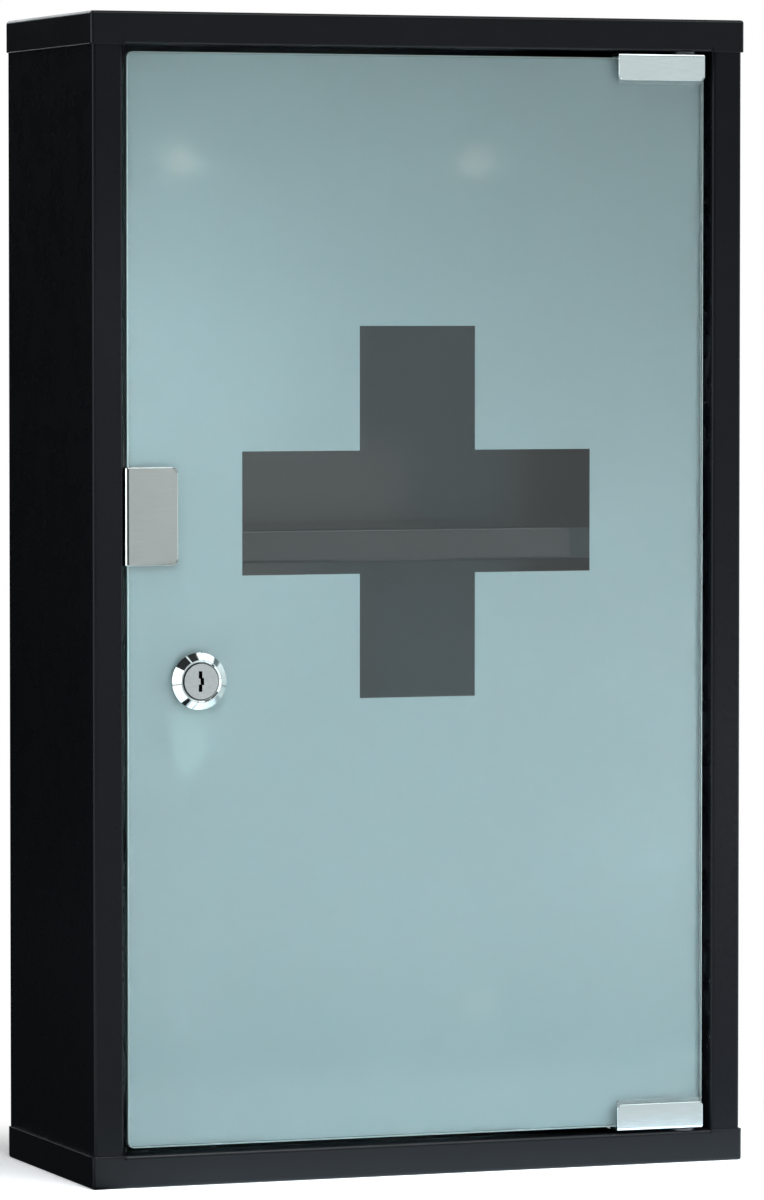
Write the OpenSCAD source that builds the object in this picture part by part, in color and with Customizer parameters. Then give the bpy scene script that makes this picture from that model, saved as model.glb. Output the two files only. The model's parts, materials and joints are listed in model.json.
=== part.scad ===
// Wall-mounted first aid cabinet with a locking glass door.
// The origin is the centre of the four wall holes, on the wall plane y = 0.
// X points right, the door faces -Y and Z points up.

/* [Cabinet body] */
// Height over the two caps
cabinet_h = 500; // [450:5:620]
// Width over the two caps
cabinet_w = 300; // [280:5:380]
// Depth from the wall to the front edge of the caps
cabinet_d = 120; // [110:2:170]
// Thickness of the steel sheet
sheet_t = 0.8; // [0.6:0.1:1]
// Outer radius of every bend in the steel sheet
bend_r = 1.6; // [1.3:0.1:2]
// Height of the skirts of the top and bottom caps
cap_h = 14; // [12:0.5:18]
// Gap between the skirts of the caps and the panels inside them
seam = 0.15; // [0.1:0.05:0.3]
// Width of the two front stiles
stile_w = 13.7; // [12:0.1:18]
// Depth of the inner lips of the stiles, which the cam of the lock reaches behind
stile_lip = 12; // [11:0.5:15]
// Width of the flanges of the sides that carry the back panel
rear_flange = 15; // [10:1:25]
// Depth of the tabs of the back panel that are welded under the caps
back_tab = 12; // [8:1:20]

/* [Wall holes] */
// Diameter of the four holes for the wall screws
wall_hole_d = 7; // [5:0.5:10]
// Distance between the left and right wall holes
wall_pitch_x = 140; // [100:5:180]
// Distance between the upper and lower wall holes
wall_pitch_z = 380; // [300:5:420]

/* [Shelves] */
// Height of the top face of the upper shelf over the base
upper_shelf_z = 279.2; // [240:0.2:320]
// Height of the top face of the lower shelf over the base
lower_shelf_z = 139.2; // [100:0.2:180]
// Height of the front lips of the shelves
shelf_lip = 14.3; // [12:0.1:18]
// Depth of the hems under the front lips
shelf_hem = 8; // [5:0.5:12]
// Height of the rear edges of the shelves
shelf_rear_edge = 10; // [6:0.5:14]
// Gap between the shelves and what turns in front of them
shelf_clear = 0.5; // [0.3:0.1:4]
// Gap between the shelves and the panels round them
shelf_play = 0.25; // [0.2:0.05:0.6]
// Leg width of the angle rails under the shelves
rail_leg = 12; // [10:0.5:16]
// Thickness of the angle rails
rail_t = 1; // [0.8:0.1:1.5]
// Diameter of the rivets that hold the shelves on the rails
rivet_d = 3.2; // [2.4:0.2:4]

/* [Glass door] */
// Thickness of the glass
glass_t = 4; // [3.5:0.5:5.5]
// Depth of the face of the glass behind the front edge of the caps
glass_recess = 1.5; // [1:0.1:2.5]
// Gap between the glass and the stile on the latch side
latch_gap = 1.85; // [1.7:0.05:3]
// Gap between the glass and the stile on the hinge side
hinge_gap = 4.05; // [3:0.05:6]
// Gap between the glass and the caps, which holds the clips and bushes
end_gap = 3; // [2.6:0.1:5]
// Radius of the corners of the glass
glass_corner_r = 3; // [1:0.5:8]
// Width of the ground edges of the glass
glass_arris = 0.5; // [0.4:0.1:0.8]
// Thickness of the frosted coating behind the glass
coating_t = 0.15; // [0.1:0.05:0.3]
// Margin between the edge of the glass and the coating
coating_margin = 0.6; // [0.5:0.1:4]
// Overall length of the two bars of the clear cross
cross_span = 160; // [100:2:200]
// Width of the bars of the clear cross
cross_arm = 53; // [30:1:65]
// Height of the middle of the cross over the middle of the door
cross_rise = 36.8; // [0:0.2:80]

/* [Hinge clips] */
// Length of a hinge clip along the edge of the glass
clip_len = 40.5; // [34:0.5:60]
// Distance that a clip reaches over the glass, from its outer face
clip_reach = 11.6; // [10:0.2:18]
// Thickness of the front plate of a clip
clip_plate_t = 1.5; // [1:0.1:2]
// Thickness of the rear plate of a clip
clip_rear_t = 2.5; // [2:0.1:4]
// Thickness of the web of a clip over the edge of the glass
clip_web_t = 1.5; // [1:0.1:1.8]
// Radius of the corners of the clip plates
clip_corner_r = 2; // [1:0.5:4]
// Radius of the outer edges along the web of a clip
clip_edge_r = 1.2; // [0.5:0.1:1.4]
// Thickness of the clear liners between clips and glass
liner_t = 0.4; // [0.3:0.1:0.8]
// Width of the liner that shows beyond the clip
liner_show = 2; // [0.5:0.5:4]
// Distance between the pivot and the edge of the glass
pivot_inset = 7.95; // [7:0.05:10]
// Depth of the pivot behind the face of the glass
pivot_depth = 4; // [3.6:0.1:5]
// Diameter of the pivot pins
pin_d = 4; // [3:0.2:4.6]
// Diameter of the flanges of the pivot bushes
bush_flange_d = 10.8; // [9:0.2:11]
// Diameter of the necks of the pivot bushes
bush_neck_d = 7; // [6:0.2:7.4]
// Axial play between the clips and the bushes
pivot_play = 0.1; // [0.05:0.05:0.3]
// Diameter of the grub screws in the clips
grub_d = 4; // [3:0.5:5]
// Distance between the two grub screws of a clip
grub_pitch = 15; // [12:1:20]

/* [Handle] */
// Height of the handle plate
handle_h = 41.9; // [30:0.1:60]
// Distance that the handle reaches over the glass
handle_reach = 22.2; // [20:0.1:30]
// Thickness of the handle sheet
handle_t = 1.2; // [0.8:0.1:1.5]
// Thickness of the adhesive tape under the handle
tape_t = 0.25; // [0.2:0.05:0.5]
// Radius of the free corners of the handle plate
handle_corner_r = 2.8; // [1:0.1:6]
// Gap between the edge of the glass and the web of the handle
handle_play = 0.15; // [0.1:0.05:0.3]

/* [Lock] */
// Distance between the lock and the latch edge of the glass
lock_inset = 31.8; // [28:0.2:45]
// Distance of the lock below the middle of the door
lock_drop = 34.3; // [20:0.1:120]
// Diameter of the chrome head of the lock
lock_head_d = 24.4; // [22:0.2:28]
// Diameter of the front edge of the head
lock_face_d = 18.4; // [18:0.2:20]
// Height of the head over its gasket
lock_head_h = 3.5; // [3:0.1:5]
// Diameter of the disc of the plug
lock_disc_d = 15.2; // [14:0.2:15.6]
// Diameter of the shaft of the plug
lock_shaft_d = 11; // [9:0.5:12]
// Diameter of the barrel behind the head
lock_barrel_d = 17; // [16:0.5:18]
// Width of the barrel over its two flats
lock_flats = 15; // [14:0.5:16]
// Thickness of the gasket under the head
gasket_t = 0.5; // [0.3:0.1:1]
// Thickness of the washer behind the glass
washer_t = 1; // [0.5:0.1:1.2]
// Thickness of the hexagon nut behind the glass
nut_t = 4; // [3:0.5:4.5]
// Width of the nut across its flats
nut_af = 22; // [21:0.5:24]
// Width of the cam
cam_w = 15; // [12:0.5:18]
// Thickness of the cam
cam_t = 1.6; // [1.2:0.1:2]
// Distance that the closed cam reaches past the edge of the stile
cam_bite = 6.35; // [4:0.05:9]
// Gap between the closed cam and the lip of the stile
cam_clear = 0.65; // [0.4:0.05:1]
// Width of the key slot
key_slot_w = 1.6; // [1:0.1:2]
// Height of the key slot
key_slot_h = 8.5; // [7:0.1:9.5]

/* [Magnetic catch] */
// Width of the catch
catch_w = 21; // [18:0.5:24]
// Height of the catch
catch_h = 13.6; // [12:0.2:16]
// Length of the housing of the catch, front to rear
catch_body_l = 26; // [22:0.5:34]
// Length of the screwed tab behind the housing
catch_tab_l = 13; // [10:0.5:18]
// Thickness of the screwed tab
catch_tab_t = 2; // [1.5:0.1:3]
// Gap between the closed handle and the pole plates
catch_gap = 0.3; // [0.2:0.05:0.6]
// Thickness of the pole plates
pole_t = 1.2; // [1:0.1:1.6]
// Wall thickness of the housing of the catch
catch_wall = 1.6; // [1.2:0.1:2]

/* [Fits] */
// Radial clearance of pins and plugs that turn
running_fit = 0.05; // [0.02:0.01:0.09]
// Radial clearance of screws and rivets in their holes
screw_fit = 0.05; // [0.02:0.01:0.2]

/* [Hidden] */
$fn = 48;
over = 1;

// Panels and caps
body_w = cabinet_w - 2 * (sheet_t + seam);
body_inner = body_w / 2 - sheet_t;
body_front = -(cabinet_d - sheet_t - seam);
panel_h = cabinet_h - 2 * bend_r;
stile_edge = body_w / 2 - stile_w;
lip_end = body_front + stile_lip;
opening_h = cabinet_h - 2 * cap_h;
back_front = -sheet_t;
flange_front = -2 * sheet_t;
flange_edge = body_w / 2 - rear_flange;
base_z = -cabinet_h / 2;

// Glass
glass_front = -cabinet_d + glass_recess;
glass_rear = glass_front + glass_t;
coating_rear = glass_rear + coating_t;
glass_left = -stile_edge + latch_gap;
glass_right = stile_edge - hinge_gap;
glass_w = glass_right - glass_left;
glass_x = (glass_left + glass_right) / 2;
glass_h = opening_h - 2 * end_gap;

// Hinge clips, given for the top one
clip_side_gap = 0.2;
clip_right = glass_right - clip_side_gap;
clip_left = clip_right - clip_len;
clip_x = (clip_left + clip_right) / 2;
clip_front = glass_front - liner_t - clip_plate_t;
clip_rear = coating_rear + liner_t + clip_rear_t;
clip_depth = clip_rear - clip_front;
clip_top = glass_h / 2 + liner_t + clip_web_t;
clip_bottom = clip_top - clip_reach;
grub_x = clip_left + 8.5;
grub_z = clip_bottom + 4.2;
pivot_x = glass_right - pivot_inset;
pivot_y = glass_front + pivot_depth;
pin_r = pin_d / 2;
bush_neck_r = bush_neck_d / 2;
bush_flange_t = end_gap - liner_t - clip_web_t - pivot_play;
bush_collar_h = 3.4;
pin_end = opening_h / 2 + sheet_t + bush_collar_h - 0.6;
cap_return = cabinet_d + pivot_y + bush_neck_r + 4;

// Lock, with positions along Y from the front to the rear
lock_x = glass_left + lock_inset;
lock_z = -lock_drop;
lock_seat = glass_front - gasket_t;
lock_front = lock_seat - lock_head_h;
lock_head_r = lock_head_d / 2;
lock_face_r = lock_face_d / 2;
lock_disc_r = lock_disc_d / 2;
lock_shaft_r = lock_shaft_d / 2;
lock_barrel_r = lock_barrel_d / 2;
lock_hole_r = lock_barrel_r + 0.75;
lock_disc_depth = 0.3;
lock_disc_t = 1.5;
cam_front = lip_end + cam_clear;
cam_rear = cam_front + cam_t;
cam_reach = lock_inset + latch_gap + cam_bite;
cam_square = 6.2;
barrel_end = cam_front - 0.2;
cam_screw_head_t = 1.3;
cam_screw_d = 4;
cam_screw_l = 7;

// Shelves stand behind the cam and behind the swing of the hinge edge
door_swing_r = norm([pivot_inset, max(pivot_depth, glass_t - pivot_depth)]);
shelf_front = max(cam_rear + cam_screw_head_t, pivot_y + door_swing_r) + shelf_clear;
shelf_rear = flange_front - shelf_play;
shelf_w = 2 * (body_inner - shelf_play);
rail_front = shelf_front + shelf_hem + 3;
rail_rear = shelf_rear - 6;
rivet_r = rivet_d / 2;
rivet_x = body_inner - rail_leg / 2;
rivet_inset = 14;
shelf_tops = [base_z + upper_shelf_z, base_z + lower_shelf_z];

// Handle and magnetic catch
handle_z = shelf_tops[0] + catch_h / 2;
handle_front = glass_front - tape_t - handle_t;
handle_rear = coating_rear + tape_t + handle_t;
handle_right = glass_left + handle_reach;
catch_x = glass_left + handle_reach / 2;
pole_front = handle_rear + catch_gap;
catch_front = pole_front + 0.5;
catch_body_rear = catch_front + catch_body_l;
catch_cavity_l = 14;
catch_screw_d = 3;
catch_screw_pitch = catch_w / 2;
catch_screw_y = catch_body_rear + catch_tab_l / 2;

powder_black = [0.09, 0.09, 0.1];
glass_green = [0.72, 0.86, 0.84, 0.5];
frost_green = [0.66, 0.78, 0.77];
chrome = [0.86, 0.88, 0.88];
satin_steel = [0.68, 0.69, 0.68];
zinc = [0.6, 0.62, 0.64];
clear_plastic = [0.8, 0.86, 0.86, 0.6];
nylon_black = [0.12, 0.12, 0.12];
ferrite = [0.2, 0.2, 0.21];

// Sheet metal shapes

function unit(v) = v / norm(v);

// A straight stretch of a strip, between two points of its middle line
module strip_bar(from, to, t) {
    along = unit(to - from);
    half_side = [abs(along.y), abs(along.x)] * t / 2;
    low = [min(from.x, to.x), min(from.y, to.y)] - half_side;
    high = [max(from.x, to.x), max(from.y, to.y)] + half_side;
    translate(low) square(high - low);
}

// A quarter bend at a corner of the middle line, from direction u to direction v
module strip_bend(corner, u, v, r, t) {
    centre = corner - r * u + r * v;
    reach = r + t;
    intersection() {
        translate(centre) difference() {
            circle(r + t / 2);
            circle(r - t / 2);
        }
        polygon([centre, centre - reach * v, centre - reach * v + reach * u, centre + reach * u]);
    }
}

// Section of a strip of sheet that is folded along a path of right-angle turns
module folded_strip(path, t = sheet_t, outer_r = bend_r) {
    r = outer_r - t / 2;
    last = len(path) - 1;
    for (i = [0 : last - 1]) {
        along = unit(path[i + 1] - path[i]);
        from = path[i] + (i > 0 ? r : 0) * along;
        to = path[i + 1] - (i < last - 1 ? r : 0) * along;
        strip_bar(from, to, t);
    }
    for (i = [1 : last - 1])
        strip_bend(path[i], unit(path[i] - path[i - 1]), unit(path[i + 1] - path[i]), r, t);
}

// A rectangle that stands on the X axis, with its two upper corners rounded
module arch_rect(w, h, r) {
    translate([-w / 2, 0]) square([w, h - r]);
    translate([-w / 2 + r, 0]) square([w - 2 * r, h]);
    for (side = [-1, 1])
        translate([side * (w / 2 - r), h - r]) circle(r);
}

// A centred rectangle with four rounded corners
module round_rect(w, h, r) {
    square([w - 2 * r, h], center = true);
    square([w, h - 2 * r], center = true);
    for (sx = [-1, 1], sy = [-1, 1])
        translate([sx * (w / 2 - r), sy * (h / 2 - r)]) circle(r);
}

// Extrudes a section drawn in Y and Z along X
module along_x(length) {
    rotate([90, 0, 90]) linear_extrude(length, center = true) children();
}

// Extrudes an outline drawn in X and Z from the plane y = front to y = rear
module through_y(front, rear) {
    translate([0, rear, 0]) rotate([90, 0, 0]) linear_extrude(rear - front) children();
}

// A closed pan that opens downwards and to the rear, with its upper and front edges rounded
module pan_solid(w, d, h, r) {
    intersection() {
        linear_extrude(h) rotate(180) arch_rect(w, d, r);
        through_y(-d, 0) arch_rect(w, h, r);
        along_x(w) arch_rect(2 * d, h, r);
    }
}

// Cabinet body

module side_panel() {
    wall_x = body_w / 2 - sheet_t / 2;
    rear_y = back_front - sheet_t / 2;
    front_y = body_front + sheet_t / 2;
    lip_x = stile_edge + sheet_t / 2;
    color(powder_black)
    linear_extrude(panel_h, center = true)
    folded_strip([
        [flange_edge, rear_y], [wall_x, rear_y], [wall_x, front_y], [lip_x, front_y], [lip_x, lip_end]
    ]);
}

module right_side() {
    side_panel();
}

module left_side() {
    mirror([1, 0, 0]) side_panel();
}

module back_panel() {
    tab_w = 2 * (flange_edge - seam);
    tab_z = cabinet_h / 2 - 1.5 * sheet_t;
    tab_y = back_front / 2;
    color(powder_black)
    difference() {
        union() {
            along_x(tab_w) folded_strip([
                [tab_y - back_tab, tab_z], [tab_y, tab_z], [tab_y, -tab_z], [tab_y - back_tab, -tab_z]
            ]);
            for (side = [-1, 1])
                translate([side * (body_w + tab_w) / 4, tab_y, 0])
                    cube([(body_w - tab_w) / 2, sheet_t, panel_h], center = true);
        }
        for (sx = [-1, 1], sz = [-1, 1])
            translate([sx * wall_pitch_x / 2, 0, sz * wall_pitch_z / 2])
                rotate([90, 0, 0]) cylinder(h = 4 * sheet_t, d = wall_hole_d, center = true);
    }
}

// The cap with its skirts; the front skirt has a return that carries the pivot bush
module cap() {
    return_w = 2 * (stile_edge - seam);
    skirt_y = -cabinet_d + sheet_t / 2;
    color(powder_black)
    translate([0, 0, opening_h / 2])
    difference() {
        union() {
            difference() {
                pan_solid(cabinet_w, cabinet_d, cap_h, bend_r);
                translate([0, over, -over])
                    pan_solid(cabinet_w - 2 * sheet_t, cabinet_d - sheet_t + over, cap_h - sheet_t + over,
                        bend_r - sheet_t);
                translate([-return_w / 2, -cabinet_d - over, -over])
                    cube([return_w, sheet_t + 2 * over, bend_r + over]);
            }
            along_x(return_w) folded_strip([
                [skirt_y, cap_h / 2], [skirt_y, sheet_t / 2], [-cabinet_d + cap_return, sheet_t / 2]
            ]);
        }
        translate([pivot_x, pivot_y, sheet_t / 2])
            cylinder(h = 2 * sheet_t, r = bush_neck_r + screw_fit, center = true);
    }
}

module top_cap() {
    cap();
}

module bottom_cap() {
    mirror([0, 0, 1]) cap();
}

// Shelves and rails

module catch_screw_places() {
    for (side = [-1, 1])
        translate([catch_x + side * catch_screw_pitch / 2, catch_screw_y, shelf_tops[0]]) children();
}

module rivet_places(top) {
    for (side = [-1, 1], y = [rail_front + rivet_inset, rail_rear - rivet_inset])
        translate([side * rivet_x, y, top]) children();
}

module shelf(top) {
    middle_z = top - sheet_t / 2;
    front_y = shelf_front + sheet_t / 2;
    rear_y = shelf_rear - sheet_t / 2;
    hem_z = top - shelf_lip + sheet_t / 2;
    difference() {
        along_x(shelf_w) folded_strip([
            [rear_y, top - shelf_rear_edge], [rear_y, middle_z], [front_y, middle_z],
            [front_y, hem_z], [shelf_front + shelf_hem, hem_z]
        ]);
        rivet_places(top) cylinder(h = 4 * sheet_t, r = rivet_r + screw_fit, center = true);
    }
}

module upper_shelf() {
    color(powder_black)
    difference() {
        shelf(shelf_tops[0]);
        catch_screw_places() cylinder(h = 4 * sheet_t, d = catch_screw_d + 2 * screw_fit, center = true);
    }
}

module lower_shelf() {
    color(powder_black) shelf(shelf_tops[1]);
}

module rail(top) {
    leg_z = top - sheet_t - rail_t / 2;
    leg_x = body_inner - rail_t / 2;
    color(powder_black)
    difference() {
        through_y(rail_front, rail_rear)
            folded_strip([[body_inner - rail_leg, leg_z], [leg_x, leg_z], [leg_x, top - sheet_t - rail_leg]],
                rail_t, rail_t + 0.6);
        rivet_places(top)
            cylinder(h = 4 * (sheet_t + rail_t), r = rivet_r + screw_fit, center = true);
    }
}

module upper_rail_right() {
    rail(shelf_tops[0]);
}

module upper_rail_left() {
    mirror([1, 0, 0]) rail(shelf_tops[0]);
}

module lower_rail_right() {
    rail(shelf_tops[1]);
}

module lower_rail_left() {
    mirror([1, 0, 0]) rail(shelf_tops[1]);
}

// A round head whose crown is part of a sphere
module crowned_head(r, h) {
    crown_r = (r * r + h * h) / (2 * h);
    rotate_extrude() intersection() {
        translate([0, h - crown_r]) circle(crown_r);
        square([r, h]);
    }
}

module shelf_rivets() {
    tail_h = 1.2;
    grip = sheet_t + rail_t;
    color(zinc)
    for (top = shelf_tops)
        rivet_places(top) {
            crowned_head(1.9 * rivet_r, 0.55 * rivet_r);
            translate([0, 0, -grip - tail_h]) cylinder(h = grip + tail_h, r = rivet_r);
            translate([0, 0, -grip - tail_h]) cylinder(h = tail_h, r = 1.4 * rivet_r);
        }
}

// Pivot bushes

module pivot_bush() {
    bore_r = pin_r + running_fit;
    flange_r = bush_flange_d / 2;
    collar_r = bush_neck_r + 0.5;
    sheet_top = bush_flange_t + sheet_t;
    end_z = sheet_top + bush_collar_h;
    color(nylon_black)
    translate([pivot_x, pivot_y, clip_top + pivot_play])
    rotate_extrude() polygon([
        [bore_r, 0], [flange_r, 0], [flange_r, bush_flange_t], [bush_neck_r, bush_flange_t],
        [bush_neck_r, sheet_top], [collar_r, sheet_top], [collar_r, sheet_top + 1],
        [bush_neck_r - 0.4, end_z], [bore_r, end_z]
    ]);
}

module top_pivot_bush() {
    pivot_bush();
}

module bottom_pivot_bush() {
    mirror([0, 0, 1]) pivot_bush();
}

// Magnetic catch on the upper shelf

module catch_at_shelf() {
    translate([catch_x, 0, shelf_tops[0]]) children();
}

module catch_cavity() {
    through_y(catch_front - over, catch_front + catch_cavity_l)
        translate([-catch_w / 2 + catch_wall, catch_wall])
            square([catch_w - 2 * catch_wall, catch_h - 2 * catch_wall]);
}

module catch_housing() {
    corner_r = 1;
    color(nylon_black)
    difference() {
        catch_at_shelf() {
            difference() {
                translate([0, (catch_front + catch_body_rear) / 2, 0])
                    linear_extrude(catch_h) round_rect(catch_w, catch_body_l, corner_r);
                catch_cavity();
            }
            translate([0, (catch_body_rear - 2 * corner_r + catch_body_rear + catch_tab_l) / 2, 0])
                linear_extrude(catch_tab_t) round_rect(catch_w, catch_tab_l + 2 * corner_r, corner_r);
        }
        catch_screw_places() cylinder(h = 4 * catch_tab_t, d = catch_screw_d + 2 * screw_fit, center = true);
    }
}

module catch_pole_plates() {
    color(zinc)
    catch_at_shelf()
    for (low = [catch_wall, catch_h - catch_wall - pole_t])
        through_y(pole_front, catch_front + catch_cavity_l)
            translate([-catch_w / 2 + catch_wall + 0.1, low])
                square([catch_w - 2 * catch_wall - 0.2, pole_t]);
}

module catch_magnet() {
    magnet_low = catch_wall + pole_t;
    color(ferrite)
    catch_at_shelf()
    through_y(catch_front + 1, catch_front + catch_cavity_l)
        translate([-catch_w / 2 + catch_wall + 0.6, magnet_low])
            square([catch_w - 2 * catch_wall - 1.2, catch_h - 2 * magnet_low]);
}

// A screw with a crowned head on z = 0, its shank below and a cross recess
module cross_screw(head_r, head_h, shank_d, shank_l) {
    recess_w = head_r * 0.32;
    difference() {
        union() {
            crowned_head(head_r, head_h);
            translate([0, 0, -shank_l]) cylinder(h = shank_l, d = shank_d);
        }
        for (turn = [0, 90])
            translate([0, 0, head_h]) rotate(turn)
                cube([head_r * 1.1, recess_w, head_h * 1.2], center = true);
    }
}

module catch_screws() {
    color(zinc)
    catch_screw_places()
        translate([0, 0, catch_tab_t])
            cross_screw(2.7, 1.8, catch_screw_d, catch_tab_t + sheet_t + 3);
}

// Glass door

module cross_outline() {
    square([cross_span, cross_arm], center = true);
    square([cross_arm, cross_span], center = true);
}

// A flat bar's section with its four long edges ground off
module ground_section(w, t, c) {
    polygon([
        [-w / 2 + c, 0], [w / 2 - c, 0], [w / 2, c], [w / 2, t - c],
        [w / 2 - c, t], [-w / 2 + c, t], [-w / 2, t - c], [-w / 2, c]
    ]);
}

// A pane on z = 0 with rounded corners and ground edges
module ground_pane(w, h, t, r, c) {
    along_x(w - 2 * r) ground_section(h, t, c);
    rotate([90, 0, 0]) linear_extrude(h - 2 * r, center = true) ground_section(w, t, c);
    for (sx = [-1, 1], sy = [-1, 1])
        translate([sx * (w / 2 - r), sy * (h / 2 - r), 0])
            rotate_extrude() polygon([[0, 0], [r - c, 0], [r, c], [r, t - c], [r - c, t], [0, t]]);
}

module door_glass() {
    color(glass_green)
    difference() {
        translate([glass_x, glass_rear, 0]) rotate([90, 0, 0])
            ground_pane(glass_w, glass_h, glass_t, glass_corner_r, glass_arris);
        lock_axis(glass_front - over) cylinder(h = glass_t + 2 * over, r = lock_hole_r);
    }
}

module frosted_coating() {
    margin = 2 * coating_margin;
    color(frost_green)
    through_y(glass_rear, coating_rear)
    difference() {
        translate([glass_x, 0]) round_rect(glass_w - margin, glass_h - margin, glass_corner_r);
        translate([glass_x, cross_rise]) cross_outline();
        translate([lock_x, lock_z]) circle(lock_hole_r);
    }
}

// Hinge clips

// Outline of a clip plate, rounded at its free corners
module clip_outline(bottom) {
    translate([clip_x, clip_top]) mirror([0, 1]) arch_rect(clip_len, clip_top - bottom, clip_corner_r);
}

module grub_places() {
    for (i = [0, 1])
        translate([grub_x + i * grub_pitch, clip_rear, grub_z]) rotate([90, 0, 0]) children();
}

module hinge_clip() {
    slot_front = glass_front - liner_t;
    slot_rear = coating_rear + liner_t;
    color(chrome)
    difference() {
        intersection() {
            translate([clip_x, 0, 0]) along_x(clip_len)
            difference() {
                translate([(clip_front + clip_rear) / 2, clip_bottom])
                    arch_rect(clip_depth, clip_reach, clip_edge_r);
                translate([slot_front, clip_bottom - over])
                    square([slot_rear - slot_front, clip_reach - clip_web_t + over]);
            }
            through_y(clip_front - over, clip_rear + over) clip_outline(clip_bottom);
        }
        translate([pivot_x, pivot_y, clip_top - clip_web_t / 2])
            cylinder(h = 2 * clip_web_t, r = pin_r + screw_fit / 2, center = true);
        grub_places() cylinder(h = 2.5 * clip_rear_t, d = grub_d + 2 * screw_fit, center = true);
    }
}

module top_hinge_clip() {
    hinge_clip();
}

module bottom_hinge_clip() {
    mirror([0, 0, 1]) hinge_clip();
}

module clip_liner() {
    liner_bottom = clip_bottom - liner_show;
    color(clear_plastic)
    intersection() {
        translate([clip_x, 0, 0]) along_x(clip_len - 2 * clip_side_gap)
        difference() {
            translate([glass_front - liner_t, liner_bottom])
                square([glass_t + coating_t + 2 * liner_t, glass_h / 2 + liner_t - liner_bottom]);
            translate([glass_front, liner_bottom - over])
                square([glass_t + coating_t, glass_h / 2 - liner_bottom + over]);
        }
        through_y(clip_front, clip_rear) clip_outline(liner_bottom);
    }
}

module top_clip_liner() {
    clip_liner();
}

module bottom_clip_liner() {
    mirror([0, 0, 1]) clip_liner();
}

module hinge_pin() {
    pin_low = clip_top - clip_web_t;
    tip = 0.5;
    color(satin_steel)
    translate([pivot_x, pivot_y, pin_low]) {
        cylinder(h = pin_end - tip - pin_low, r = pin_r);
        translate([0, 0, pin_end - tip - pin_low]) cylinder(h = tip, r1 = pin_r, r2 = pin_r - tip);
    }
}

module top_hinge_pin() {
    hinge_pin();
}

module bottom_hinge_pin() {
    mirror([0, 0, 1]) hinge_pin();
}

// Socket screws that press the rear liner on the glass
module grub_screws() {
    socket_depth = 1.4;
    color(nylon_black)
    grub_places() difference() {
        translate([0, 0, 0.2]) cylinder(h = clip_rear_t - 0.2, d = grub_d);
        cylinder(h = socket_depth, d = grub_d / 2, $fn = 6);
    }
}

module top_grub_screws() {
    grub_screws();
}

module bottom_grub_screws() {
    mirror([0, 0, 1]) grub_screws();
}

// Handle

// Outline of the handle plate, rounded at its two free corners
module handle_outline(right, h) {
    left = glass_left - handle_play - handle_t;
    translate([left, handle_z]) rotate(-90) arch_rect(h, right - left, handle_corner_r);
}

module handle_clip() {
    web_x = glass_left - handle_play - handle_t / 2;
    rear_y = handle_rear - handle_t / 2;
    front_y = handle_front + handle_t / 2;
    color(satin_steel)
    intersection() {
        translate([0, 0, handle_z])
            linear_extrude(handle_h, center = true)
                folded_strip([
                    [handle_right, rear_y], [web_x, rear_y], [web_x, front_y], [handle_right, front_y]
                ], handle_t, handle_t + 0.5);
        through_y(handle_front - over, handle_rear + over) handle_outline(handle_right, handle_h);
    }
}

module handle_tape() {
    margin = 1;
    tape_left = glass_left + margin;
    tape_w = handle_reach - 2 * margin;
    color(clear_plastic)
    for (front = [glass_front - tape_t, coating_rear])
        through_y(front, front + tape_t)
            translate([tape_left + tape_w / 2, handle_z])
                round_rect(tape_w, handle_h - 2 * margin, handle_corner_r - margin / 2);
}

// Cam lock

// Moves a shape that stands on z = 0 onto the axis of the lock, pointing to the rear
module lock_axis(y) {
    translate([lock_x, y, lock_z]) rotate([-90, 0, 0]) children();
}

module lock_housing() {
    barrel_l = barrel_end - lock_front;
    disc_bore_r = lock_disc_r + running_fit;
    shaft_bore_r = lock_shaft_r + running_fit;
    disc_seat = lock_disc_depth + lock_disc_t + 0.1;
    rim_r = (lock_face_r + disc_bore_r) / 2 + 0.35;
    edge = 0.4;
    color(chrome)
    lock_axis(lock_front)
    difference() {
        rotate_extrude() polygon([
            [rim_r, 0], [lock_face_r, 0], [lock_head_r, lock_head_h - edge], [lock_head_r, lock_head_h],
            [lock_barrel_r, lock_head_h], [lock_barrel_r, barrel_l], [shaft_bore_r, barrel_l],
            [shaft_bore_r, disc_seat], [disc_bore_r, disc_seat], [disc_bore_r, rim_r - disc_bore_r]
        ]);
        for (side = [-1, 1])
            translate([side * lock_flats, 0, lock_head_h + barrel_l / 2])
                cube([lock_flats, 2 * lock_barrel_d, barrel_l], center = true);
    }
}

module flat_ring(outer_r, inner_r, t) {
    linear_extrude(t) difference() {
        circle(outer_r);
        circle(inner_r);
    }
}

module lock_gasket() {
    color(nylon_black) lock_axis(lock_seat) flat_ring(lock_head_r - 0.4, lock_barrel_r + 0.2, gasket_t);
}

module lock_washer() {
    color(zinc) lock_axis(coating_rear) flat_ring(nut_af / 2 + 0.6, lock_barrel_r + 0.1, washer_t);
}

module lock_nut() {
    nut_r = nut_af / 2 / cos(30);
    nut_chamfer = nut_r - nut_af / 2;
    color(chrome)
    lock_axis(coating_rear + washer_t)
    difference() {
        intersection() {
            cylinder(h = nut_t, r = nut_r, $fn = 6);
            rotate_extrude() polygon([
                [0, 0], [nut_r, 0], [nut_r, nut_t - nut_chamfer / 2],
                [nut_r - nut_chamfer, nut_t], [0, nut_t]
            ]);
        }
        translate([0, 0, -over]) cylinder(h = nut_t + 2 * over, r = lock_barrel_r + 0.1);
    }
}

// Zigzag outline of the key slot
module key_slot() {
    third = key_slot_h / 3;
    shift = key_slot_w / 4;
    for (i = [-1, 0, 1])
        translate([(i == 0 ? 1 : -1) * shift, i * third])
            square([key_slot_w, third * 1.1], center = true);
}

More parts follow.
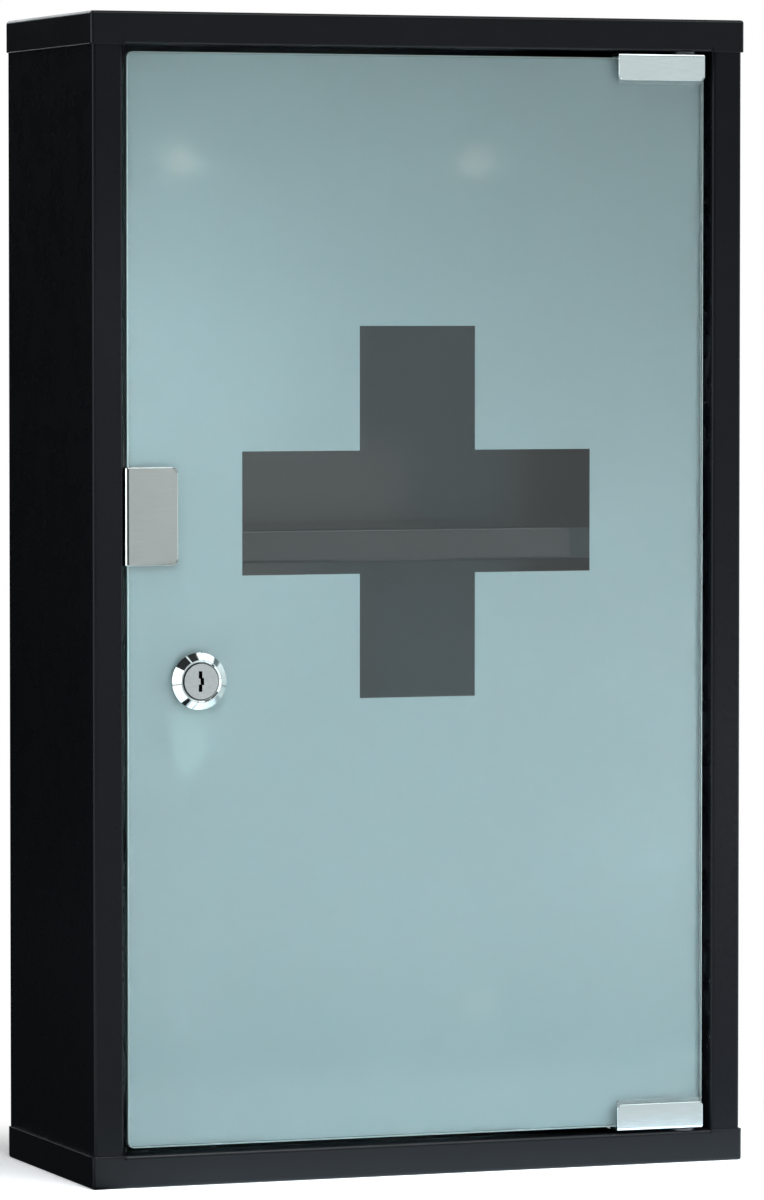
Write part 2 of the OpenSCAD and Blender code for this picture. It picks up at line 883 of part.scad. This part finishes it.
module lock_plug() {
    disc_front = lock_disc_depth;
    shaft_end = cam_front - lock_front;
    tail_end = cam_rear - lock_front;
    slot_depth = 9;
    color(satin_steel)
    lock_axis(lock_front)
    difference() {
        union() {
            translate([0, 0, disc_front]) cylinder(h = lock_disc_t, r = lock_disc_r);
            translate([0, 0, disc_front]) cylinder(h = shaft_end - disc_front, r = lock_shaft_r);
            translate([0, 0, shaft_end - over])
                linear_extrude(tail_end - shaft_end + over) square(cam_square, center = true);
        }
        translate([0, 0, disc_front - over]) linear_extrude(slot_depth + over) key_slot();
        translate([0, 0, tail_end - cam_screw_l])
            cylinder(h = cam_screw_l + over, d = cam_screw_d + 2 * screw_fit);
    }
}

module lock_cam() {
    hub_r = cam_w / 2;
    tip_y = cam_reach - hub_r;
    hole = cam_square + 0.1;
    color(zinc)
    lock_axis(cam_front)
    linear_extrude(cam_t)
    difference() {
        union() {
            circle(hub_r);
            translate([0, tip_y]) circle(hub_r);
            translate([-hub_r, 0]) square([cam_w, tip_y]);
        }
        square(hole, center = true);
    }
}

module cam_screw() {
    color(zinc)
    translate([lock_x, cam_rear, lock_z]) rotate([-90, 0, 0])
        cross_screw(cam_square * 0.75, cam_screw_head_t, cam_screw_d, cam_screw_l - 0.5);
}

left_side();
right_side();
back_panel();
top_cap();
bottom_cap();
upper_shelf();
lower_shelf();
upper_rail_left();
upper_rail_right();
lower_rail_left();
lower_rail_right();
shelf_rivets();
top_pivot_bush();
bottom_pivot_bush();
catch_housing();
catch_magnet();
catch_pole_plates();
catch_screws();
door_glass();
frosted_coating();
top_hinge_clip();
bottom_hinge_clip();
top_hinge_pin();
bottom_hinge_pin();
top_clip_liner();
bottom_clip_liner();
top_grub_screws();
bottom_grub_screws();
handle_clip();
handle_tape();
lock_housing();
lock_gasket();
lock_washer();
lock_nut();
lock_plug();
lock_cam();
cam_screw();
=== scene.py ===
"""Looks of the wall-mounted first aid cabinet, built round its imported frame."""

import json
import math

import bpy
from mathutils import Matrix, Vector


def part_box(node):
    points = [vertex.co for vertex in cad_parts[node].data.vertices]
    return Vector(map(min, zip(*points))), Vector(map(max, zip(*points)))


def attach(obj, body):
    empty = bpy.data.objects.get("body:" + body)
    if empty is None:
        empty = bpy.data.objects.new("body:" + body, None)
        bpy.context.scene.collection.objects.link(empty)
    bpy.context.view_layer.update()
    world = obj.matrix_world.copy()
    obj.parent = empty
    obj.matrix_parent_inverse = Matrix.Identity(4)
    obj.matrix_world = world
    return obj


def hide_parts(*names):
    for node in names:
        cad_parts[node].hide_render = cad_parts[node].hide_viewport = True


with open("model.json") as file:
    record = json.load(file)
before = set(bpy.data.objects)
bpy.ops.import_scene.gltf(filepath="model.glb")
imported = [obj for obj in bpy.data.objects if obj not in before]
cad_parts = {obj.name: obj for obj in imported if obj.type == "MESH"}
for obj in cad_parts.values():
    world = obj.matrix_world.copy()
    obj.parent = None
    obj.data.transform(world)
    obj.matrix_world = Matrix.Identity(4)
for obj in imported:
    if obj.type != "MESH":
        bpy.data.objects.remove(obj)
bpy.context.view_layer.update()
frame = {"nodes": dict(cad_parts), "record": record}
nodes = frame["nodes"]
scene = bpy.context.scene
scene.view_settings.view_transform = "Standard"

# All places are in metres: the wall is at y = 0, the door faces -y, and the cabinet stands on the floor
base_low, base_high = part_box("bottom_cap")
BASE_CENTRE = (base_low + base_high) / 2
BASE_HALF = (base_high - base_low) / 2
FLOOR_Z = base_low.z


# Camera

CAMERA_AT = Vector((-1.03862, -2.86790, 0.12664))
CAMERA_AIM = Vector((0.347563, 0.936648, -0.043474))
SENSOR_MM = 36.0
LENS_MM = 204.795
CLIP_NEAR = 0.05
CLIP_FAR = 50.0


def build_camera():
    data = bpy.data.cameras.new("camera")
    data.sensor_width = SENSOR_MM
    data.lens = LENS_MM
    data.clip_start = CLIP_NEAR
    data.clip_end = CLIP_FAR
    camera = bpy.data.objects.new("camera", data)
    camera.location = CAMERA_AT
    camera.rotation_euler = CAMERA_AIM.to_track_quat("-Z", "Y").to_euler()
    scene.collection.objects.link(camera)
    scene.camera = camera


build_camera()


# Node trees

class Tree:
    """Short ways to add and join the nodes of one material or of the world."""

    def __init__(self, owner):
        owner.use_nodes = True
        self.tree = owner.node_tree
        self.tree.nodes.clear()

    def add(self, kind, inputs=None, **settings):
        node = self.tree.nodes.new(kind)
        for name, value in settings.items():
            setattr(node, name, value)
        for name, value in (inputs or {}).items():
            self.join(value, node.inputs[name])
        return node

    def join(self, value, socket):
        if isinstance(value, bpy.types.NodeSocket):
            self.tree.links.new(value, socket)
        else:
            socket.default_value = value

    def math(self, operation, *values):
        node = self.add("ShaderNodeMath", operation=operation)
        for i, value in enumerate(values):
            self.join(value, node.inputs[i])
        return node.outputs[0]

    def times(self, a, b):
        return self.math("MULTIPLY", a, b)

    def length(self, a, b):
        """Length of the flat vector (a, b)."""
        squares = self.math("ADD", self.math("POWER", a, 2.0), self.math("POWER", b, 2.0))
        return self.math("SQRT", squares)

    def vector(self, operation, a, b, out="Vector"):
        return self.add("ShaderNodeVectorMath", {0: a, 1: b}, operation=operation).outputs[out]

    def smooth(self, value, low, high, to_low=0.0, to_high=1.0):
        """Goes over smoothly from to_low at low into to_high at high."""
        ends = {"Value": value, "From Min": low, "From Max": high, "To Min": to_low, "To Max": to_high}
        return self.add("ShaderNodeMapRange", ends, interpolation_type="SMOOTHSTEP").outputs["Result"]

    def spread(self, noise, to_low, to_high):
        """Spreads the usual range of a noise over the values from to_low to to_high."""
        return self.smooth(noise, 0.3, 0.7, to_low, to_high)

    def corner(self, x, y, x_edge, y_edge):
        """1 beyond both edges, each given by the start and the end of its way from 0 to 1."""
        return self.times(self.smooth(x, *x_edge), self.smooth(y, *y_edge))

    def mix(self, factor, a, b):
        """A colour between a and b."""
        return self.add("ShaderNodeMix", {0: factor, 6: a, 7: b}, data_type="RGBA").outputs[2]

    def mix_value(self, factor, a, b):
        return self.add("ShaderNodeMix", {0: factor, 2: a, 3: b}, data_type="FLOAT").outputs[0]

    def mix_shader(self, factor, a, b):
        return self.add("ShaderNodeMixShader", {0: factor, 1: a, 2: b}).outputs[0]

    def distance(self, value, centre):
        return self.math("ABSOLUTE", self.math("SUBTRACT", value, centre))

    def beyond(self, value, centre, half):
        """How far a value lies outside the stretch of twice half round the centre, 0 within it."""
        return self.math("MAXIMUM", self.math("SUBTRACT", self.distance(value, centre), half), 0.0)

    def band(self, value, centre, half, edge):
        """1 within half of the centre, 0 outside it, with a soft edge."""
        return self.smooth(self.distance(value, centre), half + edge, half - edge)

    def noise(self, place, scale, detail=2.0, roughness=0.5):
        node = self.add("ShaderNodeTexNoise",
                        {"Vector": place, "Scale": scale, "Detail": detail, "Roughness": roughness})
        return node.outputs["Fac"]

    def xyz(self, vector):
        return self.add("ShaderNodeSeparateXYZ", {"Vector": vector}).outputs

    def glow(self, color, strength):
        return self.add("ShaderNodeEmission", {"Color": color, "Strength": strength}).outputs[0]


def rgb(r, g, b):
    return (r, g, b, 1.0)


WHITE = rgb(1.0, 1.0, 1.0)
STUDIO_TINT = rgb(0.93, 1.0, 1.015)


# World

ROOM_BEHIND = 0.006
ROOM_IN_FRONT = 0.035
# way, half angle in degrees, level, half width of the soft edge in degrees
STUDIO_LIGHTS = (
    ((-0.91, -0.34, 0.22), 23.5, 2.0, 1.0),  # wide, at the left in front
    ((-0.98, -0.05, 0.05), 14.0, 2.4, 2.0),  # at the left, along the wall
    ((0.37, -0.93, 0.03), 9.0, 0.70, 4.5),  # in front, mirrored by the stiles and the glass
    ((0.96, -0.28, 0.08), 20.0, 1.8, 3.0),  # at the right
    ((0.45, -0.38, 0.81), 25.0, 2.2, 1.5),  # high at the right
    ((-0.231, -0.183, 0.958), 2.2, 1.0, 0.5),  # small, overhead
    ((-0.04, 0.93, 0.36), 13.0, 3.0, 4.0),  # behind and high, lines the upper edges of the caps
    ((-0.04, 0.95, -0.30), 8.0, 2.5, 3.0),  # behind and low, lines the lower edge of the top cap
)


def lobe(tree, direction, way, wide, level, edge):
    """A round light in the world: its level within the half angle wide, with a soft edge."""
    cosine = tree.vector("DOT_PRODUCT", direction, tuple(Vector(way).normalized()), out="Value")
    inner = math.cos(math.radians(wide - edge))
    outer = math.cos(math.radians(wide + edge))
    return tree.times(tree.smooth(cosine, outer, inner), level)


def build_world():
    """White for camera rays and rays that go on through the glass; others see a dark room and its lights."""
    world = bpy.data.worlds.new("studio")
    scene.world = world
    tree = Tree(world)
    direction = tree.add("ShaderNodeTexCoord").outputs["Generated"]
    y = tree.xyz(direction)["Y"]
    level = tree.smooth(y, 0.75, -0.35, ROOM_BEHIND, ROOM_IN_FRONT)
    for light in STUDIO_LIGHTS:
        level = tree.math("ADD", level, lobe(tree, direction, *light))
    ray = tree.add("ShaderNodeLightPath").outputs
    through = tree.times(ray["Is Transmission Ray"], tree.smooth(y, 0.3, 0.5))
    white = tree.math("MAXIMUM", ray["Is Camera Ray"], through)
    color = tree.mix(white, STUDIO_TINT, WHITE)
    strength = tree.mix_value(white, level, 1.0)
    background = tree.add("ShaderNodeBackground", {"Color": color, "Strength": strength})
    tree.add("ShaderNodeOutputWorld", {"Surface": background.outputs[0]})


build_world()


# Lamps

LAMP_TINT = (0.95, 0.995, 1.05)
FLOOR_LAMP_AT = (0.0, -0.55, 0.90)
FLOOR_LAMP_AIM = (0.0, -0.42, FLOOR_Z)
# Lamps near the door that light the frosted coating through the glass, where the glass doesn't mirror them
# into the photo's camera. Each has its name, place, side and watts.
FILL_LAMPS = (
    ("right_lamp", (0.351, -0.439, -0.104), 0.13, 3.5),
    ("left_lamp", (-0.172, -0.302, 0.118), 0.10, 0.65),
    ("low_lamp", (-0.085, -0.541, -0.175), 0.10, 1.2),
)
FILL_AIM = (0.03, -0.12, -0.04)
GLOW_TINT = (1.0, 0.58, 0.32)
GLOW_BEHIND = 0.08
GLOW_RADIUS = 0.017
GLOW_CONE = 12
GLOW_BLEND = 0.5


def place_lamp(name, data, at, aim):
    """Puts a lamp at a place and turns it to its aim; the camera doesn't see the lamp itself."""
    lamp = bpy.data.objects.new(name, data)
    lamp.location = at
    lamp.rotation_euler = (Vector(aim) - Vector(at)).to_track_quat("-Z", "Y").to_euler()
    lamp.visible_camera = False
    scene.collection.objects.link(lamp)
    return lamp


def area_lamp(name, at, aim, size, watts, spread=180):
    data = bpy.data.lights.new(name, "AREA")
    data.shape = "RECTANGLE"
    data.size, data.size_y = size
    data.energy = watts
    data.spread = math.radians(spread)
    data.color = LAMP_TINT
    return place_lamp(name, data, at, aim)


def hole_lamp(name, x, z, watts):
    """A small lamp behind a wall hole, on the camera's line of sight, that glows through the frosted door."""
    data = bpy.data.lights.new(name, "SPOT")
    data.energy = watts
    data.spot_size = math.radians(GLOW_CONE)
    data.spot_blend = GLOW_BLEND
    data.shadow_soft_size = GLOW_RADIUS
    data.color = GLOW_TINT
    hole = Vector((x, 0.0, z))
    sight = (hole - CAMERA_AT).normalized()
    place_lamp(name, data, hole + sight * GLOW_BEHIND, hole)


area_lamp("floor_lamp", FLOOR_LAMP_AT, FLOOR_LAMP_AIM, size=(0.4, 0.25), watts=1.5, spread=50)
for name, at, side, watts in FILL_LAMPS:
    area_lamp(name, at, FILL_AIM, (side, side), watts).visible_glossy = False

holes = next(mount["dims"] for mount in frame["record"]["mounts"] if mount["name"] == "wall_holes")
hole_x = holes["spacing_x_mm"] / 2000
hole_z = holes["spacing_y_mm"] / 2000
hole_lamp("upper_left_glow", -hole_x, hole_z, 0.032)
hole_lamp("upper_right_glow", hole_x, hole_z, 0.028)
hole_lamp("lower_right_glow", hole_x, -hole_z, 0.012)


# Materials

SOCKETS = {
    "color": "Base Color", "metal": "Metallic", "rough": "Roughness", "spec": "Specular IOR Level",
    "ior": "IOR", "pass_": "Transmission Weight", "normal": "Normal", "scatter": "Subsurface Weight",
    "scatter_radius": "Subsurface Radius", "scatter_scale": "Subsurface Scale",
}


def principled(tree, **sockets):
    """The surface of a material; numbers and plain colours stay on the shader's own sockets."""
    node = tree.add("ShaderNodeBsdfPrincipled", {SOCKETS[name]: value for name, value in sockets.items()})
    tree.add("ShaderNodeOutputMaterial", {"Surface": node.outputs[0]})


def bump(tree, height, distance, strength=1.0):
    node = tree.add("ShaderNodeBump", {"Height": height, "Distance": distance, "Strength": strength})
    return node.outputs[0]


def new_material(name):
    material = bpy.data.materials.new(name)
    tree = Tree(material)
    return material, tree, tree.add("ShaderNodeTexCoord").outputs["Object"]


def powder_coat(name, spec, rough, peel_strength=0.5):
    """Black coat with a fine orange peel, whose gloss and tone wander a little."""
    material, tree, place = new_material(name)
    peel = tree.noise(place, 650.0, 2.5, 0.55)
    cloud = tree.noise(place, 14.0, 3.0)
    gloss = tree.noise(place, 90.0, 3.0)
    color = tree.mix(cloud, rgb(0.0030, 0.0033, 0.0041), rgb(0.0047, 0.0050, 0.0059))
    principled(tree, color=color, rough=tree.spread(gloss, *rough), spec=spec,
               normal=bump(tree, peel, 0.00006, peel_strength))
    return material


def door_glass():
    """Clear glass: its small chamfers scatter white, and the sides between them are a deep green, with
    painted shade that darkens them to near black where they face left (-x).
    """
    material, tree, place = new_material("door_glass")
    # the face's own normal, which turns with the door
    facing = tree.add("ShaderNodeVectorTransform",
                      {"Vector": tree.add("ShaderNodeNewGeometry").outputs["True Normal"]},
                      vector_type="NORMAL", convert_from="WORLD", convert_to="OBJECT")
    x, y, z = tree.xyz(facing.outputs[0])
    flat = tree.math("ABSOLUTE", y)
    edge = tree.smooth(flat, 0.98, 0.9)
    side = tree.smooth(flat, 0.4, 0.3)
    color = tree.mix(edge, rgb(0.93, 0.975, 0.965), rgb(0.30, 0.38, 0.375))
    # painted shade: the sides go from near black where they face left (-x) to deep green where they face
    # right, up or down
    deep = tree.mix(tree.smooth(x, -0.9, 0.3), rgb(0.03, 0.045, 0.045), rgb(0.32, 0.42, 0.41))
    ground = tree.smooth(tree.noise(place, 2500.0), 0.2, 0.8, 0.3, 0.42)
    principled(tree, color=tree.mix(side, color, deep), rough=tree.times(edge, ground), ior=1.52,
               pass_=tree.mix_value(edge, 1.0, 0.3))
    return material


def frosting():
    """Pale coating that scatters the light and lets a blurred view through."""
    material, tree, place = new_material("frosting")
    cloud = tree.noise(place, 9.0, 3.0)
    grain = tree.noise(place, 3000.0)
    color = tree.mix(cloud, rgb(0.655, 0.89, 0.965), rgb(0.685, 0.915, 0.985))
    principled(tree, color=color, rough=0.27, ior=1.46, pass_=0.62, normal=bump(tree, grain, 0.00002, 0.2),
               scatter=1.0, scatter_radius=(1.0, 1.0, 1.0), scatter_scale=0.0004)
    return material


def metal(name, tint, rough, scale, stretch=(1.0, 1.0, 1.0), relief=0.0):
    """Bare or plated metal: fine marks, which can run along one way, in tone, roughness and relief."""
    material, tree, place = new_material(name)
    along = tree.add("ShaderNodeMapping", {"Vector": place, "Scale": stretch}).outputs[0]
    marks = tree.noise(along, scale, 3.0, 0.6)
    smudge = tree.noise(place, 45.0, 3.0)
    wear = tree.math("ADD", tree.times(marks, 0.7), tree.times(smudge, 0.3))
    darker = rgb(*(part * 0.93 for part in tint))
    raised = {"normal": bump(tree, marks, relief)} if relief else {}
    principled(tree, color=tree.mix(marks, darker, rgb(*tint)), rough=tree.spread(wear, *rough), metal=1.0,
               **raised)
    return material


def turned_face():
    """Fine rings round the axis of the lock, as left by a lathe, and a keyway darkened by painted shade."""
    ring_pitch = 0.00035
    washer_low, washer_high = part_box("lock_washer")
    axis = (washer_low + washer_high) / 2
    face_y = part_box("lock_plug")[0].y - axis.y
    material, tree, place = new_material("turned_face")
    x, y, z = tree.xyz(tree.vector("SUBTRACT", place, tuple(axis)))
    wobble = tree.times(tree.noise(place, 400.0), 0.00012)
    radius = tree.math("ADD", tree.length(x, z), wobble)
    rings = tree.math("SINE", tree.times(radius, 2 * math.pi / ring_pitch))
    fleck = tree.noise(place, 1500.0)
    color = tree.mix(tree.smooth(rings, -1.0, 1.0), rgb(0.80, 0.82, 0.82), rgb(0.90, 0.92, 0.92))
    # painted shade: the keyway goes over into near black between 0.3 and 0.6 mm behind the face of the plug
    deep = tree.smooth(y, face_y + 0.0003, face_y + 0.0006)
    principled(tree, color=tree.mix(deep, color, rgb(0.02, 0.02, 0.02)), rough=tree.spread(fleck, 0.15, 0.24),
               metal=1.0, normal=bump(tree, rings, 0.000004, 0.6))
    return material


def plastic(name, low, high, rough, **more):
    """Moulded plastic, rubber or ferrite with a fine grain and a tone that wanders from low to high."""
    material, tree, place = new_material(name)
    grain = tree.noise(place, 900.0, 3.0, 0.55)
    color = tree.mix(tree.noise(place, 60.0), rgb(*low), rgb(*high))
    principled(tree, color=color, rough=tree.spread(grain, *rough), normal=bump(tree, grain, 0.00005, 0.6),
               **more)
    return material


POWDER = powder_coat("powder_coat", 0.13, (0.25, 0.31))
POWDER_CAP = powder_coat("powder_coat_cap", 0.23, (0.29, 0.35))
POWDER_INSIDE = powder_coat("powder_coat_inside", 1.0, (0.17, 0.22))
POWDER_SHELF = powder_coat("powder_coat_shelf", 0.8, (0.17, 0.21), 0.05)
GLASS = door_glass()
FROST = frosting()
CHROME = metal("chrome", (0.80, 0.83, 0.83), (0.04, 0.09), 300.0)
CLIP_CHROME = metal("clip_chrome", (0.87, 0.94, 0.94), (0.12, 0.2), 120.0, stretch=(1.0, 20.0, 20.0))
SATIN = metal("satin_nickel", (0.64, 0.665, 0.64), (0.13, 0.19), 90.0, stretch=(1.0, 1.0, 30.0))
TURNED = turned_face()
CAM_ZINC = metal("cam_zinc", (0.97, 0.84, 0.66), (0.14, 0.22), 250.0)
ZINC = metal("zinc_plate", (0.62, 0.64, 0.66), (0.18, 0.34), 250.0, relief=0.000003)
BLACK_STEEL = metal("black_oxide", (0.05, 0.05, 0.052), (0.3, 0.45), 500.0)
NYLON = plastic("nylon_black", (0.024, 0.024, 0.026), (0.034, 0.034, 0.036), (0.34, 0.46))
RUBBER = plastic("rubber", (0.012, 0.012, 0.012), (0.018, 0.018, 0.018), (0.6, 0.75))
FERRITE = plastic("ferrite", (0.03, 0.03, 0.033), (0.045, 0.045, 0.048), (0.45, 0.6))
VINYL = plastic("vinyl", (0.80, 0.88, 0.88), (0.86, 0.93, 0.93), (0.10, 0.18), ior=1.5, pass_=0.96)

# The finish of each material slot in the record, and of the nodes that have a variant of their own
FINISHES = {
    "powder_coat": POWDER, "clear_glass": GLASS, "frosted_glass": FROST, "chrome": CHROME,
    "satin_steel": SATIN, "zinc_steel": ZINC, "black_steel": BLACK_STEEL, "black_plastic": NYLON,
    "clear_plastic": VINYL, "black_rubber": RUBBER, "ferrite": FERRITE,
}
OWN_FINISH = {
    "top_hinge_clip": CLIP_CHROME, "bottom_hinge_clip": CLIP_CHROME, "lock_plug": TURNED,
    "lock_cam": CAM_ZINC, "top_cap": POWDER_CAP, "bottom_cap": POWDER_CAP,
    "back_panel": POWDER_INSIDE, "upper_shelf": POWDER_SHELF, "lower_shelf": POWDER_SHELF,
}

slots = {part["node"]: part["material_slot"] for part in frame["record"]["subparts"]}
for name, node in nodes.items():
    node.data.materials.clear()
    node.data.materials.append(OWN_FINISH.get(name, FINISHES[slots[name]]))


# Floor

FLOOR_CORNERS = ((-0.98, -1.3), (1.2, -1.3), (1.2, 1.3), (-0.98, 1.3))
# The camera sees a lit floor close to the cabinet, which goes over into plain white between these distances
LIT_EDGE = (0.02, 0.14)
LIT_COLOR = rgb(0.86, 0.86, 0.86)
LIT_GLOW = 0.35
# Levels of the mirrored floor from the front to the wall: start and end of each step, and the level after it
FAR_FRONT_LEVEL = 0.66
FLOOR_STEPS = ((-1.25, -0.60, 0.38), (-0.60, -0.36, 0.66), (-0.225, -0.20, 2.1))
AT_RIGHT_LEVEL = 1.5
AT_LEFT_LEVEL = 1.7
FAR_BEHIND_LEVEL = 2.5
DARK_LEVEL = 0.02
TINT_EDGE = (-0.3, -0.2)
NEAR_TINT = rgb(0.82, 0.98, 1.08)


def seen_floor(tree, x, y):
    """A lit floor that keeps the shadow of the cabinet, in plain white."""
    out_x = tree.beyond(x, BASE_CENTRE.x, BASE_HALF.x)
    out_y = tree.beyond(y, BASE_CENTRE.y, BASE_HALF.y)
    away = tree.smooth(tree.length(out_x, out_y), *LIT_EDGE)
    lit = tree.add("ShaderNodeBsdfDiffuse", {"Color": LIT_COLOR})
    near = tree.add("ShaderNodeAddShader", {0: lit.outputs[0], 1: tree.glow(WHITE, LIT_GLOW)})
    return tree.mix_shader(away, near.outputs[0], tree.glow(WHITE, 1.0))


def mirrored_floor(tree, x, y):
    """What the object mirrors of the floor, a painted glow that stands in for the lit floor: bright in front
    of it, dark at its left side and behind it, with a painted shadow by its lower left corner and painted
    shade along its left side.
    """
    level = FAR_FRONT_LEVEL
    for start, end, after in FLOOR_STEPS:
        level = tree.smooth(y, start, end, level, after)
    at_right = tree.corner(x, y, (0.27, 0.31), (-0.55, -0.45))
    level = tree.mix_value(at_right, level, AT_RIGHT_LEVEL)
    at_left = tree.smooth(x, -0.09, -0.13)
    level = tree.mix_value(at_left, level, AT_LEFT_LEVEL)
    # painted shadow: a dark patch on the floor by the cabinet's lower left corner; painted shade beside its
    # left side; dark behind it
    painted_shadow_patch = tree.times(tree.band(x, centre=-0.182, half=0.027, edge=0.004),
                       tree.band(y, centre=-0.16, half=0.05, edge=0.01))
    painted_shade_beside = tree.corner(x, y, (-0.13, -0.15), (-0.16, -0.12))
    behind = tree.smooth(y, -0.02, 0.08)
    dark = tree.math("MAXIMUM", tree.math("MAXIMUM", painted_shadow_patch, painted_shade_beside), behind)
    # far behind it is bright again, which lines the lower edges of the caps
    far_behind = tree.times(tree.smooth(y, 0.7, 0.9, 0.0, FAR_BEHIND_LEVEL), tree.smooth(x, -0.2, -0.1))
    level = tree.mix_value(dark, level, tree.math("MAXIMUM", far_behind, DARK_LEVEL))
    return tree.glow(tree.mix(tree.smooth(y, *TINT_EDGE), STUDIO_TINT, NEAR_TINT), level)


def build_floor():
    mesh = bpy.data.meshes.new("floor")
    mesh.from_pydata([(x, y, FLOOR_Z) for x, y in FLOOR_CORNERS], [], [(0, 1, 2, 3)])
    floor = bpy.data.objects.new("floor", mesh)
    scene.collection.objects.link(floor)
    material, tree, place = new_material("floor")
    x, y, z = tree.xyz(place)
    ray = tree.add("ShaderNodeLightPath").outputs
    # behind the cabinet, the floor is seen through the glass of the open door too
    through = tree.times(ray["Is Transmission Ray"], tree.smooth(y, 0.0, 0.05))
    seen = tree.math("MAXIMUM", ray["Is Camera Ray"], through)
    surface = tree.mix_shader(seen, mirrored_floor(tree, x, y), seen_floor(tree, x, y))
    tree.add("ShaderNodeOutputMaterial", {"Surface": surface})
    mesh.materials.append(material)


build_floor()


# Pieces

FILM_LIFT = 0.00002
HANDLE_ROUND = 0.00045
CAP_ROUND = 0.00035
CLIP_ROUND = 0.0003
LINER_ROUND = 0.0001


def frost_film():
    """The coating as a closed slab, a hair behind the glass so that the two faces stay apart."""
    mesh = nodes["frosted_coating"].data.copy()
    mesh.name = "frost_film"
    front = min(vertex.co.y for vertex in mesh.vertices) + FILM_LIFT
    for vertex in mesh.vertices:
        vertex.co.y = max(vertex.co.y, front)
    film = bpy.data.objects.new("frost_film", mesh)
    scene.collection.objects.link(film)
    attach(film, "door")
    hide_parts("frosted_coating")


def soften_edges(name, width, segments=2):
    """A small round on the sharp edges of a CAD node, by modifiers that leave its mesh as it is."""
    node = nodes[name]
    weld = node.modifiers.new("weld", "WELD")
    weld.merge_threshold = 1e-6
    bevel = node.modifiers.new("bevel", "BEVEL")
    bevel.width = width
    bevel.segments = segments
    bevel.limit_method = "ANGLE"
    bevel.angle_limit = math.radians(35)
    bevel.use_clamp_overlap = False
    weighted = node.modifiers.new("weighted", "WEIGHTED_NORMAL")
    weighted.weight = 100


frost_film()
soften_edges("handle_clip", HANDLE_ROUND, segments=3)
for end in ("top", "bottom"):
    soften_edges(end + "_cap", CAP_ROUND)
    soften_edges(end + "_hinge_clip", CLIP_ROUND, segments=3)
    soften_edges(end + "_clip_liner", LINER_ROUND)
